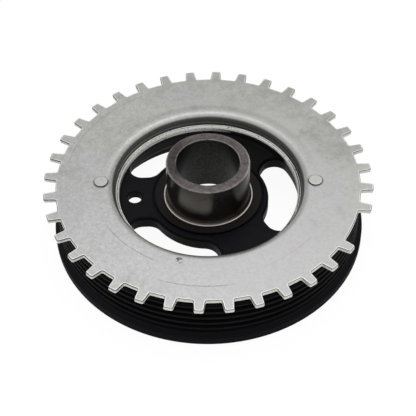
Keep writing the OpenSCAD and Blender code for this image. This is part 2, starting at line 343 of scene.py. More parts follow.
def grow(name: str, tree: PieceTree, sizes: Mapping[str, float | int]) -> bpy.types.Object:
    """Runs a geometry tree once and keeps its result as a plain mesh.

    Args:
        name: Name of the piece.
        tree: Tree that makes it.
        sizes: Values of the tree's inputs.

    Returns:
        The piece, with its faces outwards; its open edges are counted in the log.
    """
    seed = add_object(name + "_seed", bpy.data.meshes.new(name + "_seed"))
    modifier = seed.modifiers.new("Sizes", "NODES")
    modifier.node_group = tree.tree
    for port in tree.tree.interface.items_tree:
        if port.in_out == "INPUT":
            modifier[port.identifier] = sizes[port.name]
    graph = bpy.context.evaluated_depsgraph_get()
    mesh = bpy.data.meshes.new_from_object(seed.evaluated_get(graph), preserve_all_data_layers=True, depsgraph=graph)
    seed.modifiers.remove(modifier)
    bpy.data.objects.remove(seed)
    if "corner_round" in mesh.attributes:
        mesh.attributes.remove(mesh.attributes["corner_round"])
    shape = bmesh.new()
    shape.from_mesh(mesh)
    bmesh.ops.remove_doubles(shape, verts=shape.verts, dist=WELD * MM)
    bmesh.ops.dissolve_degenerate(shape, edges=shape.edges, dist=SLIVER * MM)
    bmesh.ops.recalc_face_normals(shape, faces=shape.faces)
    open_edges = sum(not edge.is_manifold for edge in shape.edges)
    shape.to_mesh(mesh)
    shape.free()
    piece = add_object(name, mesh)
    flats = piece.modifiers.new("Flats", "WEIGHTED_NORMAL")
    flats.mode = "FACE_AREA"
    flats.weight = FLAT_WEIGHT
    LOG.info("%s: %d faces, %d open edges", name, len(mesh.polygons), open_edges)
    return piece


# Finishes


class Surface(Graph):
    """Shader tree with one Principled shader.

    Attributes:
        spot: Where a shaded point is on the part, in millimetres.
        x, y, z: Its three coordinates.
        r: Its distance from the axis.
        turn: Its turn about the axis from +X, in degrees.
        tilt: How far its face looks up, from -1 to 1.
    """

    def __init__(self, name: str, fixed: Mapping[str, Plug] | None = None) -> None:
        """Makes a material.

        Args:
            name: Name of the material.
            fixed: Values of the shader that are the same all over.
        """
        self.material = bpy.data.materials.new(name)
        self.material.use_nodes = True
        super().__init__(self.material.node_tree)
        self.tree.nodes.clear()
        self.shader = self.node("ShaderNodeBsdfPrincipled", None, fixed)
        self.output = self.node("ShaderNodeOutputMaterial", None, {"Surface": self.shader.outputs[0]})
        self.spot = self.scaled(self.node("ShaderNodeTexCoord").outputs["Object"], 1 / MM)
        split = self.node("ShaderNodeSeparateXYZ", None, {0: self.spot})
        self.x, self.y, self.z = (self.value(split, number) for number in range(3))
        self.r = self.math("SQRT", self.x * self.x + self.y * self.y)
        self.turn = self.math("ARCTAN2", self.y, self.x) * (180 / math.pi)
        normal = self.node("ShaderNodeNewGeometry").outputs["Normal"]
        self.tilt = self.value(self.node("ShaderNodeSeparateXYZ", None, {0: normal}), 2)

    def paint(self, **channels: Plug) -> None:
        """Feeds the shader's changing inputs, such as base_color or roughness."""
        for name, plug in channels.items():
            self.plug(self.entry(self.shader, name.replace("_", " ").title()), plug)

    def noise(self, at: Plug, scale: float, detail: float = 3.0, roughness: float = 0.55, seed: float = 0.0) -> Value:
        """Noise between 0 and 1.

        Args:
            at: Coordinates, in millimetres.
            scale: Waves per millimetre.
            detail: Number of finer layers.
            roughness: Strength of the finer layers.
            seed: Place in the pattern's fourth dimension.

        Returns:
            The noise.
        """
        sockets = {"Vector": at, "W": seed, "Scale": scale, "Detail": detail, "Roughness": roughness}
        return self.make("ShaderNodeTexNoise", sockets, noise_dimensions="4D")

    def spots(self, scale: float, detail: float = 3.0, roughness: float = 0.55, seed: float = 0.0) -> Value:
        """Noise that is the same size in all directions."""
        return self.noise(self.spot, scale, detail, roughness, seed)

    def rings(self, fine: float, coarse: float, detail: float, roughness: float = 0.55, seed: float = 0.0) -> Value:
        """Noise drawn out into fine rings about the axis."""
        return self.noise(self.around(fine, coarse), 1.0, detail, roughness, seed)

    def cells(self, scale: float) -> Value:
        """Distance to the nearest of many scattered dots."""
        return self.make("ShaderNodeTexVoronoi", {"Vector": self.spot, "Scale": scale}, feature="F1")

    def band(self, value: Value, low: float, high: float, soft: float) -> Value:
        """Mask that is 1 between two values, with soft ends."""
        return self.rise(value, low - soft, low + soft) * self.fall(value, high - soft, high + soft)

    def mix(self, mask: Plug, under: Plug, over: Plug) -> Value:
        """Colour over another one, by a mask."""
        colours = {6: self.rgba(under), 7: self.rgba(over)}
        return self.value(self.node("ShaderNodeMix", {"data_type": "RGBA"}, {0: mask, **colours}), 2)

    def rgba(self, colour: Plug) -> Plug:
        """Colour with its alpha, where it is a plain tuple."""
        return (*colour, 1.0) if isinstance(colour, tuple) else colour

    def blend(self, mask: Value, under: Plug, over: Plug) -> Value:
        """Number over another one, by a mask."""
        return mask * over + (1 - mask) * under

    def around(self, fine: float, coarse: float) -> Value:
        """Coordinates with so many fine rings for a millimetre and coarse changes along a ring."""
        across, along = self.x / self.r * coarse, self.y / self.r * coarse
        return self.point(self.r * fine, across, along + self.z * fine)

    def turned(self, degrees: float, stretch: float) -> Value:
        """Coordinates turned by some degrees and drawn out, for streaks that long for their width."""
        angle = math.radians(degrees)
        along = self.x * math.cos(angle) + self.y * math.sin(angle)
        across = self.y * math.cos(angle) - self.x * math.sin(angle)
        return self.point(along / stretch, across, self.z)

    def away(self, turn: float, radius: float) -> Value:
        """Distance from an upright line at a turn in degrees and a radius."""
        angle = math.radians(turn)
        x, y = self.x - radius * math.cos(angle), self.y - radius * math.sin(angle)
        return self.math("SQRT", x * x + y * y)

    def bump(self, height: Value, depth: float) -> Value:
        """Normal from heights between 0 and 1, which are so many millimetres deep."""
        return self.make("ShaderNodeBump", {"Strength": 1.0, "Distance": depth * MM, "Height": height})


class Finish(ABC):
    """Surface finish of a piece."""

    @abstractmethod
    def material(self) -> bpy.types.Material:
        """Builds the finish as a material."""


@dataclass(frozen=True)
class Scuff:
    """Family of fine scratches that run one way.

    Attributes:
        direction: Direction in degrees from +X.
        stretch: Length of a scratch for its width.
        scale: Scratches per millimetre.
        share: Noise level above which a scratch shows.
        seed: Place in the pattern.
    """

    direction: float
    stretch: float
    scale: float
    share: float
    seed: float


@dataclass(frozen=True)
class Rub:
    """Long faint arc that another part has rubbed into the flat.

    Attributes:
        radius: Radius of the arc.
        start: Turn at which it starts, in degrees.
        end: Turn at which it ends.
        width: Half of its width.
        wander: How far it strays from its radius.
    """

    radius: float
    start: float
    end: float
    width: float
    wander: float


@dataclass(frozen=True)
class SheetSteel(Finish):
    """Plain stamped sheet with the grain of its rolling, its stains and scuffs, and painted shade and highlights.

    Attributes:
        colour: Clean metal.
        lilac: Cooler patches of it.
        dull: Metal under the darker mottling.
        stain: Faint warm stains.
        burnish: Metal that the drawing tool has smoothed.
        oil: Painted shade and dark reflection on the collar's inside.
        lip: Painted highlight on the flat beside its sheared edges.
        sheared: Upper part of the sheared edges.
        torn: Lower part of the sheared edges.
        rolled: Painted shadow where the flat rolls over into a sheared edge.
        sheet: Lowest and highest height of the flat sheet.
        bend: Radii between which the collar bends.
        oiled: Heights between which that painted shade fades out.
        scuffs: Scratches on the flat.
        rubs: Arcs on the flat.
        dent: Turn and radius of the small mark near the collar.
        rust: Turn and radius of a warm stain.
        buttons: Turn, radius of their circle and radius of the two buttons.
    """

    colour: Colour = (0.500, 0.504, 0.478)
    lilac: Colour = (0.505, 0.500, 0.507)
    dull: Colour = (0.36, 0.366, 0.34)
    stain: Colour = (0.42, 0.36, 0.35)
    burnish: Colour = (0.508, 0.509, 0.493)
    oil: Colour = (0.068, 0.069, 0.060)
    lip: Colour = (0.90, 0.90, 0.85)
    sheared: Colour = (0.70, 0.70, 0.66)
    torn: Colour = (0.95, 0.95, 0.90)
    rolled: Colour = (0.10, 0.099, 0.090)
    sheet: tuple[float, float] = (25.4, 27.2)
    bend: tuple[float, float] = (41.7, 46.5)
    oiled: tuple[float, float] = (25.7, 26.4)
    scuffs: tuple[Scuff, ...] = (
        Scuff(24.0, 26.0, 1.4, 0.67, 1.0),
        Scuff(-38.0, 34.0, 1.1, 0.68, 2.0),
        Scuff(71.0, 20.0, 1.9, 0.69, 3.0),
        Scuff(5.0, 42.0, 1.6, 0.68, 4.0),
    )
    rubs: tuple[Rub, ...] = (
        Rub(60.3, -106.0, -78.0, 0.36, 0.5),
        Rub(51.0, -146.0, -112.0, 0.32, 2.2),
        Rub(64.4, 120.0, 171.0, 0.18, 1.4),
        Rub(55.2, -60.0, -28.0, 0.12, 1.8),
    )
    dent: tuple[float, float] = (-101.9, 47.7)
    rust: tuple[float, float] = (-156.0, 60.6)
    buttons: tuple[float, float, float] = (3.2, 47.8, 3.0)

    def material(self) -> bpy.types.Material:
        """Builds the finish as a material."""
        s = Surface("sheet_steel", {"Specular IOR Level": 0.5})
        grain = s.spots(2.4, 3.0, 0.75)
        speck = s.spots(0.95, 4.0, 0.75, 5.0)
        mottle = self.mottling(s, speck)
        cool = s.spots(0.06, 2.0, 0.5, 15.0) + s.rise(-s.y, -30.0, 30.0) * 0.22 - 0.08
        tone = s.mix(mottle * 0.8, s.mix(s.rise(cool, 0.40, 0.60), self.colour, self.lilac), self.dull)
        stains = s.rise(s.spots(0.085, 2.0, 0.5, 11.0), 0.60, 0.74) * s.rise(speck, 0.35, 0.65)
        rust = s.fall(s.away(*self.rust), 0.4, 2.6) * s.rise(speck, 0.44, 0.56)
        tone = s.mix(stains * 0.3 + rust * 0.6, tone, self.stain)
        drawn = s.fall(s.r, self.bend[1], self.bend[1] + 0.5)
        tone = s.mix(drawn * 0.9, tone, self.burnish)
        # Painted shade on a band just outside the collar's bend, on the far half only.
        far_bend_shade = s.band(s.r, self.bend[1] + 0.3, self.bend[1] + 3.2, 0.9) * s.rise(s.y, 5.0, 40.0)
        # Painted shade and dark reflection on the collar's inside.
        oil = self.oil_film(s)
        tone = s.mix(oil * 0.92, tone, self.oil)
        marks = self.scratches(s)
        arcs = self.arcs(s)
        dots = s.fall(s.cells(0.11), 0.02, 0.05)
        dent = s.fall(s.away(*self.dent), 1.2, 2.2) * s.rise(s.spots(0.7, 2.0, 0.5, 8.0), 0.44, 0.52)
        crease, face = self.button_masks(s)
        wall = s.fall(abs(s.tilt), 0.25, 0.5) * s.rise(s.r, 60.0, 62.0)
        ragged = s.z + (s.rings(0.4, 60.0, 2.0) - 0.5) * 0.7
        torn = wall * s.fall(ragged, self.sheet[0] + 0.3, self.sheet[0] + 1.0)
        # Painted shadow along the roll-over between the flat and the sheared walls.
        roll = s.band(abs(s.tilt), 0.30, 0.955, 0.05) * s.rise(s.r, 60.0, 62.0)
        near_edge = s.value(s.node("ShaderNodeAttribute", {"attribute_name": "lip"}), "Fac")
        # Painted highlight on the flat just beside its sheared edges.
        tone = s.mix(near_edge * s.rise(s.tilt, 0.9, 0.98) * 0.85, tone, self.lip)
        tone = s.mix(wall, tone, s.mix(torn, self.sheared, self.torn))
        # Painted shadow along the top of the walls on the left side of the ring.
        left_wall_shadow = s.rise(abs(s.turn), 98.0, 116.0) * s.rise(ragged, self.sheet[1] - 0.75, self.sheet[1] - 0.5) * wall
        tone = s.mix(s.math("MAXIMUM", roll, left_wall_shadow * 0.8), tone, self.rolled)
        stipple = s.spots(0.75, 2.0, 0.6, 13.0)
        # Stronger grain and painted shade on the left of the sheet; the shade is weaker towards the front.
        left_grain_and_shade = s.rise(-s.x, -30.0, 45.0)
        fine = s.rise(grain, 0.32, 0.68) * (left_grain_and_shade * 0.14 + 0.05) + s.rise(speck, 0.30, 0.70) * (left_grain_and_shade * 0.07 + 0.07)
        fine = s.rise(stipple, 0.30, 0.70) * (left_grain_and_shade * 0.08 + 0.08) + fine + 0.04
        fine = fine - left_grain_and_shade * (0.16 - s.rise(-s.y, 5.0, 45.0) * 0.05)
        light = fine + 0.83 + marks * 0.10 + face * 0.10 - far_bend_shade * 0.13
        tone = s.scaled(tone, light - arcs * 0.30 - dots * 0.35 - dent * 0.75 - crease)
        rough = 0.34 + mottle * 0.10 + grain * 0.10 + torn * 0.2 + drawn * 0.03 + oil * 0.10 - marks * 0.05
        height = grain * 0.35 + speck * 0.3 - marks * 0.5 - dent * 1.4 - dots * 0.5 - arcs * 0.6
        metal = 0.92 - mottle * 0.12 - oil * 0.3 - wall * 0.5 - torn * 0.25
        s.paint(base_color=tone, roughness=rough, metallic=metal, normal=s.bump(height, 0.022))
        return s.material

    def mottling(self, s: Surface, speck: Value) -> Value:
        """Mask of the darker stipple, which lies thickest on one side of the sheet."""
        cloud = s.spots(0.045, 3.0, 0.5, 7.0)
        sector = s.band(s.turn, 18.0, 92.0, 14.0) * s.rise(s.r, 48.0, 58.0)
        patches = s.spots(0.13, 5.0, 0.62, 3.0) + (cloud - 0.5) * 0.4 + (speck - 0.5) * 0.75 + sector * 0.14
        patches = s.rise(patches - s.rise(-s.y, -10.0, 45.0) * 0.13, 0.44, 0.84)
        flecks = s.rise(s.spots(0.42, 3.0, 0.6, 17.0), 0.50, 0.66)
        clusters = s.rise(s.spots(0.07, 3.0, 0.5, 19.0) + sector * 0.2, 0.48, 0.68) * s.rise(s.y, -25.0, 15.0)
        return s.math("MINIMUM", flecks * clusters * 0.32 + patches, 1.0)

    def oil_film(self, s: Surface) -> Value:
        """Mask of the painted shade and dark reflection on the collar's inside, with a thinner line low on its wall."""
        inside = s.fall(s.r, self.bend[0] + 1.9, self.bend[0] + 2.5)
        streaks = (s.rings(3.0, 3.0, 3.0, 0.6) - 0.5) * 0.5
        film = s.fall(s.z + streaks, *self.oiled)
        thin = s.band(s.z + streaks * 0.4, 23.3, 23.95, 0.12)
        return inside * film * (1 - thin * 0.4)

    def button_masks(self, s: Surface) -> tuple[Value, Value]:
        """Masks of the painted shade in and around the buttons' creases, and of their faces."""
        turn, reach, radius = self.buttons
        away = s.math("MINIMUM", s.away(turn, reach), s.away(turn + 180.0, reach))
        # Painted shade in the crease around each button and on a wider band beyond it.
        crease = s.band(away, radius - 0.04, radius + 0.26, 0.05) * 0.7
        crease = s.band(away, radius + 0.30, radius + 0.72, 0.12) * 0.32 + crease
        return crease, s.fall(away, radius - 0.35, radius - 0.1)

    def scratches(self, s: Surface) -> Value:
        """Mask of the fine scratches."""
        total: Plug = 0.0
        for scuff in self.scuffs:
            lines = s.noise(s.turned(scuff.direction, scuff.stretch), scuff.scale, 2.0, 0.5, scuff.seed)
            patch = s.rise(s.spots(0.06, 2.0, 0.5, scuff.seed + 20.0), 0.46, 0.62)
            total = s.rise(lines, scuff.share, scuff.share + 0.05) * patch + total
        return s.math("MINIMUM", total, 1.0)

    def arcs(self, s: Surface) -> Value:
        """Mask of the long faint arcs that another part has rubbed into the flat."""
        wander = s.rings(0.02, 1.2, 1.0) - 0.5
        total: Plug = 0.0
        for rub in self.rubs:
            line = s.fall(abs(s.r + wander * rub.wander - rub.radius), rub.width * 0.5, rub.width)
            total = line * s.band(s.turn, rub.start, rub.end, 6.0) + total
        return total * s.rise(s.spots(0.5, 2.0), 0.28, 0.46)


@dataclass(frozen=True)
class BlackCoat(Finish):
    """Thin satin black coat over turned iron, rubbed through in places.

    Attributes:
        name: Name of the material.
        colour: Coat on the flange.
        belt_black: Coat on the ribs, darker as painted shade under the toothed sheet.
        dust: Light dust that lies in the coat's texture.
        bare: Iron where the coat is rubbed thin.
        crests: Radii of the crests that a belt or a hand rubs.
        ribs: Heights between which the ribs begin, and above which the sheet shuts them in and the coat takes painted
            shade.
    """

    name: str = "ring_iron"
    colour: Colour = (0.0086, 0.0082, 0.0114)
    belt_black: Colour = (0.0032, 0.0031, 0.0039)
    dust: Colour = (0.014, 0.014, 0.018)
    bare: Colour = (0.045, 0.045, 0.043)
    crests: tuple[float, ...] = (67.9, 70.0)
    ribs: tuple[float, float, float] = (5.4, 6.0, 22.6)

    def material(self) -> bpy.types.Material:
        """Builds the finish as a material."""
        s = Surface(self.name, {"Specular IOR Level": 0.05})
        rings = s.rings(7.0, 2.5, 3.0, 0.6)
        cloud = s.spots(0.12, 4.0, 0.6, 2.0)
        grain = s.spots(3.0, 3.0, 0.7, 4.0)
        specks = s.fall(s.cells(0.55), 0.03, 0.08) * s.rise(cloud, 0.45, 0.6)
        worn: Plug = 0.0
        for crest in self.crests:
            worn = s.band(s.r, crest - 0.24, crest - 0.05, 0.03) + worn
        worn = worn * s.rise(rings * 0.5 + cloud * 0.6, 0.40, 0.62)
        start, full, shut = self.ribs
        belt = s.rise(s.z, start, full)
        # Painted shade under the sheet: the top land is darker.
        under_sheet_shade = s.rise(s.z, shut - 0.3, shut)
        # Painted shade under the toothed sheet: the ribs take a darker coat than the flange.
        tone = s.mix(belt, self.colour, self.belt_black)
        # Dust and a painted sheen: the flange is paler on its left side.
        dust_and_sheen_left = s.rise(abs(s.turn), 100.0, 135.0) * (1 - belt) * 0.6
        tone = s.mix(s.rise(cloud, 0.35, 0.8) * (0.25 - belt * 0.12) + specks * 0.6 + dust_and_sheen_left, tone, self.dust)
        # Painted shade: the flange's outer wall is darker.
        wall = s.rise(s.r, self.crests[1] - 0.4, self.crests[1] - 0.1)
        tone = s.scaled(s.mix(worn * 0.45, tone, self.bare), 1 - under_sheet_shade * 0.6 - wall * 0.5)
        under = s.fall(s.z, 0.15, 0.65)
        rough = 0.42 + cloud * 0.16 + grain * 0.08 - worn * 0.08 + under_sheet_shade * 0.3 + wall * 0.15 + under * 0.2
        height = rings * 0.6 + grain * 0.3 + specks * 0.8
        s.paint(base_color=tone, roughness=rough, metallic=worn * 0.2, normal=s.bump(height, 0.012))
        return s.material


@dataclass(frozen=True)
class HubIron(Finish):
    """Black cast web and rim with its turned places bare.

    Attributes:
        coat: Black coat on the castings.
        coat_haze: Slightly paler patches of the coat.
        boss_haze: Brownish bloom on the boss.
        nose: Dark greased wall of the nose.
        nose_dark: Darker rings on that wall.
        nose_end: End of the nose.
        rim_line: Rubbed edges of the nose's end.
        bright: Freshly turned ledge and the wall under it.
        ring_line: Bare fillet at the foot of the nose, painted bright as a highlight.
        bore: Wall of the bore.
        seat: Turned seat of the bolt on the front.
        nose_r: Radius of the nose.
        bore_r: Radius of the bore.
        boss: Radius and height of the boss.
        nose_top: Height of the nose's end.
        ledge: Height, inner and outer radius of the bright ledge.
        bolt_seat: Height, radius of the washer's rub and radius of the seat on the front.
    """

    coat: Colour = (0.0048, 0.0045, 0.0066)
    coat_haze: Colour = (0.012, 0.0112, 0.0115)
    boss_haze: Colour = (0.017, 0.0140, 0.0130)
    nose: Colour = (0.135, 0.126, 0.114)
    nose_dark: Colour = (0.078, 0.068, 0.060)
    nose_end: Colour = (0.115, 0.099, 0.101)
    rim_line: Colour = (0.34, 0.32, 0.30)
    bright: Colour = (0.92, 0.92, 0.87)
    ring_line: Colour = (0.95, 0.84, 0.78)
    bore: Colour = (0.020, 0.0195, 0.019)
    seat: Colour = (0.40, 0.39, 0.375)
    nose_r: float = 18.55
    bore_r: float = 14.0
    boss: tuple[float, float] = (24.0, 19.3)
    nose_top: float = 39.6
    ledge: tuple[float, float, float] = (22.45, 40.1, 41.7)
    bolt_seat: tuple[float, float, float] = (10.4, 20.5, 22.5)

    def material(self) -> bpy.types.Material:
        """Builds the finish as a material."""
        s = Surface("hub_iron", {"Specular IOR Level": 0.07})
        rings = s.rings(9.0, 1.5, 3.0, 0.6)
        cast = s.spots(1.5, 4.0, 0.6, 6.0)
        cloud = s.spots(0.16, 4.0, 0.6, 2.0)
        mottle = s.spots(0.8, 4.0, 0.7, 9.0)
        foot = self.nose_r + 1.0
        on_nose = s.fall(s.r, foot - 0.15, foot) * s.rise(s.z, self.boss[1] - 0.2, self.boss[1])
        in_bore = s.fall(s.r, self.bore_r + 0.02, self.bore_r + 0.1)
        end = s.rise(s.z, self.nose_top - 0.25, self.nose_top - 0.05) * (1 - in_bore)
        # Painted highlight: the bare fillet at the foot of the nose is made very bright.
        foot_highlight_mask = s.band(s.r, foot - 0.1, foot + 0.32, 0.08)
        foot_highlight_mask = foot_highlight_mask * s.band(s.z, self.boss[1] - 0.1, self.boss[1] + 0.4, 0.1)
        rims = s.band(s.z, self.nose_top - 0.75, self.nose_top - 0.1, 0.12)
        rims = rims * s.band(s.r, self.bore_r + 0.05, self.nose_r, 0.12)
        low, inner, outer = self.ledge
        ledge = s.rise(s.r, inner - 0.25, inner - 0.15) * s.rise(s.z, low - 2.85, low - 2.7)
        ledge = ledge * s.fall(s.r, 53.4, 53.7)
        # Painted shade in the corner where the collar's foot meets the ledge.
        corner = ledge * s.rise(s.r + (cast - 0.5) * 0.3, outer - 0.45, outer - 0.2)
        corner = corner * s.fall(s.z, low + 0.1, low + 0.3)
        seam = ledge * s.band(s.r + (cast - 0.5) * 0.2, inner + 0.54, inner + 0.92, 0.08)
        seam = seam * s.rise(mottle, 0.32, 0.48)
        cuts = s.rise(s.rings(2.4, 2.0, 2.0, 0.5, 5.0), 0.35, 0.65)
        below = s.fall(s.z, low - 1.65, low - 1.4)
        spray = below * s.band(s.turn + (cloud - 0.5) * 30.0, 30.0, 82.0, 6.0)
        ledge = ledge * (1 - spray * 0.97)
        pits = ledge * s.fall(s.cells(0.7), 0.15, 0.32) * s.rise(cast, 0.44, 0.56)
        # Painted shade: the coat is darker at the back right, where the collar shades the web.
        back_right_shade = s.band(s.turn, 12.0, 96.0, 14.0)
        # Painted shade: the bore, the nose's end and its edges are darker on the left.
        left_nose_shade = s.rise(abs(s.turn), 112.0, 160.0)
        tone = s.mix(s.rise(cloud, 0.3, 0.8) * 0.5, self.coat, self.coat_haze)
        tone = s.scaled(tone, 1 - back_right_shade * 0.75)
        boss_top = s.band(s.r, foot, self.boss[0] - 0.3, 0.2)
        boss_top = boss_top * s.band(s.z, self.boss[1] - 0.3, self.boss[1] + 0.2, 0.1)
        tone = s.mix(boss_top * 0.8, tone, self.boss_haze)
        # Painted shade on the right of the nose's wall.
        right_nose_shade = s.band(s.turn, -52.0, 30.0, 14.0)
        wall = s.mix(rings * 0.5, self.nose, self.nose_dark)
        tone = s.mix(on_nose, tone, s.scaled(wall, 0.75 + cloud * 0.5 - right_nose_shade * 0.68))
        blotch = s.rise(mottle, 0.32, 0.66)
        tone = s.mix(in_bore, tone, s.scaled(self.bore, (0.33 + rings * 0.5 + blotch * 0.8) * (1 - left_nose_shade * 0.75)))
        edge = s.rise(s.r, self.nose_r - 2.2, self.nose_r - 0.6)
        worn = (0.34 + rings * 0.5 + blotch * 0.7 + edge * 0.22) * (1 - left_nose_shade * 0.5)
        tone = s.mix(end, tone, s.scaled(self.nose_end, worn))
        tone = s.mix(rims * 0.85, tone, s.scaled(self.rim_line, (0.75 + blotch * 0.8) * (1 - left_nose_shade * 0.4)))
        tone = s.mix(foot_highlight_mask, tone, self.ring_line)
        seat_z, rub_r, seat_r = self.bolt_seat
        seat = s.fall(s.z, seat_z + 0.1, seat_z + 0.3) * s.fall(s.r, seat_r - 0.15, seat_r) * (1 - in_bore)
        rub = s.band(s.r + (cloud - 0.5) * 0.6, self.bore_r + 0.9, rub_r, 0.25)
        tone = s.mix(seat, tone, s.scaled(self.seat, 0.45 + rings * 0.3 + rub * 0.55 - blotch * 0.15))
        # Painted highlight of a chamfer that the mesh lacks: the upper wall under the ledge is paler and less metallic.
        chamfer_highlight = s.band(s.z, low - 1.5, low - 0.15, 0.08) * ledge
        # Painted shade on the ledge, strongest on its right and weaker on its left; the sum below also holds the cuts,
        # pits and the painted highlight and shade above.
        ledge_shade = s.math("MAXIMUM", s.band(s.turn, -48.0, 24.0, 12.0), s.rise(abs(s.turn), 150.0, 168.0) * 0.6)
        ledge_light_and_wear = 0.80 + cuts * 0.3 + chamfer_highlight * 0.15 - below * 0.36 - pits * 0.7 - corner * 0.85
        ledge_light_and_wear = ledge_light_and_wear - seam * (ledge_shade * 0.35 + 0.5) - ledge_shade * 0.26
        tone = s.mix(ledge, tone, s.scaled(self.bright, ledge_light_and_wear))
        bare = s.math("MINIMUM", on_nose + in_bore + end + seat, 1.0)
        coat_rough = 0.40 + cast * 0.16
        bare_rough = 0.19 + rings * 0.12 + cloud * 0.08 + (end + in_bore + seat) * 0.08
        rough = s.blend(ledge, s.blend(bare, coat_rough, bare_rough), 0.44 + rings * 0.1)
        height = s.blend(bare, cast * 0.8 + cloud * 0.6, rings * 0.45) - pits * 1.2
        metal = bare * 0.94 + (ledge - chamfer_highlight) * 0.5
        s.paint(base_color=tone, roughness=rough, metallic=metal, normal=s.bump(height, 0.02))
        return s.material


@dataclass(frozen=True)
class Rubber(Finish):
    """Moulded rubber with a dull bloom.

    Attributes:
        colour: Rubber.
        bloom: Pale bloom on its skin.
    """

    colour: Colour = (0.012, 0.012, 0.0125)
    bloom: Colour = (0.045, 0.045, 0.047)

    def material(self) -> bpy.types.Material:
        """Builds the finish as a material."""
        s = Surface("damper_rubber", {"Specular IOR Level": 0.3})
        cloud = s.spots(0.25, 4.0, 0.6)
        grain = s.spots(5.0, 3.0, 0.7)
        flow = s.rings(2.0, 14.0, 3.0, 0.6)
        tone = s.mix(s.rise(cloud, 0.4, 0.8) * 0.5 + flow * 0.15, self.colour, self.bloom)
        s.paint(base_color=tone, roughness=0.62 + grain * 0.2, normal=s.bump(grain * 0.6 + flow * 0.6, 0.03))
        return s.material


# Pieces


class Part(ABC):
    """Sub-assembly that rides on the only body."""

    node: ClassVar[str]

    @abstractmethod
    def build(self, frame: Mapping[str, Any]) -> bpy.types.Object:
        """Makes the piece and gives it its finish."""

    def stand_for(self, piece: bpy.types.Object) -> bpy.types.Object:
        """Puts a finished piece in its node's place."""
        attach(piece, "root")
        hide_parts(self.node)
        return piece


class GrownPart(Part):
    """Piece that a geometry tree grows from the numbers of its dataclass."""

    def sizes(self) -> dict[str, float | int]:
        """Named inputs of the geometry tree, one for each number."""
        values = {entry.name.replace("_", " ").title(): getattr(self, entry.name) for entry in fields(self)}
        return {label: value for label, value in values.items() if isinstance(value, (int, float))}

    @abstractmethod
    def tree(self) -> PieceTree:
        """Builds the geometry tree."""

    def grown(self, name: str) -> bpy.types.Object:
        """Grows the piece and puts it in its node's place."""
        return self.stand_for(grow(name, self.tree(), self.sizes()))


